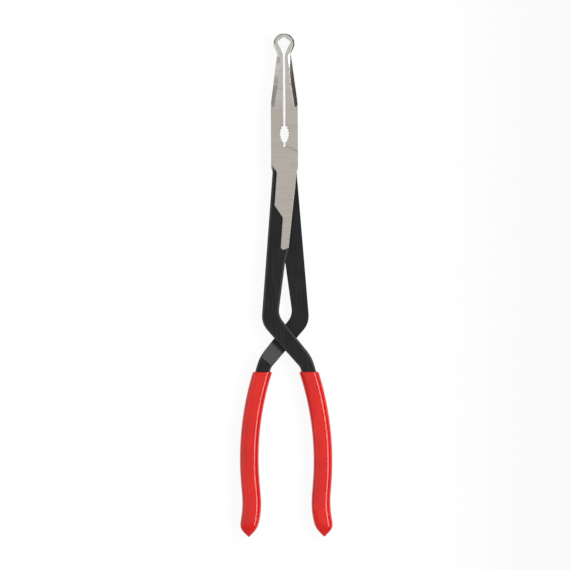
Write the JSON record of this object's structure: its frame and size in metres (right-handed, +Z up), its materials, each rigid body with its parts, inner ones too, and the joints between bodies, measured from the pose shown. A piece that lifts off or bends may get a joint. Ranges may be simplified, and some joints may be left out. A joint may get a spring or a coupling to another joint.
{
  "type": "long-reach ring-nose pliers",
  "caption": "Long-reach pliers with crossed arms, a ring at the jaw tips, fine teeth, a pipe grip and dipped grips.",
  "frame": {"origin": "pivot axis on the back ground face of the head, the face that the tool lies on", "axes": "+Y along the tool from the pivot towards the jaw tips, +Z up through the thickness towards the front lever's face, +X towards the front lever's handle"},
  "size_m": [0.061, 0.3302, 0.012],
  "materials": {
    "forged_steel": "satin black coat on forged steel, ground bare on the head and jaws",
    "ground_steel": "ground",
    "dipped_grip": "glossy dipped vinyl"
  },
  "bodies": {
    "rear_half": {"rear_lever": "forged_steel", "pivot_rivet": "ground_steel", "left_grip": "dipped_grip"},
    "front_half": {"front_lever": "forged_steel", "right_grip": "dipped_grip"}
  },
  "joints": [
    {"name": "pivot", "type": "hinge", "parent": "rear_half", "child": "front_half", "pos_m": [0, 0, 0.006], "axis": [0, 0, 1], "range_deg": [0, 30]}
  ]
}
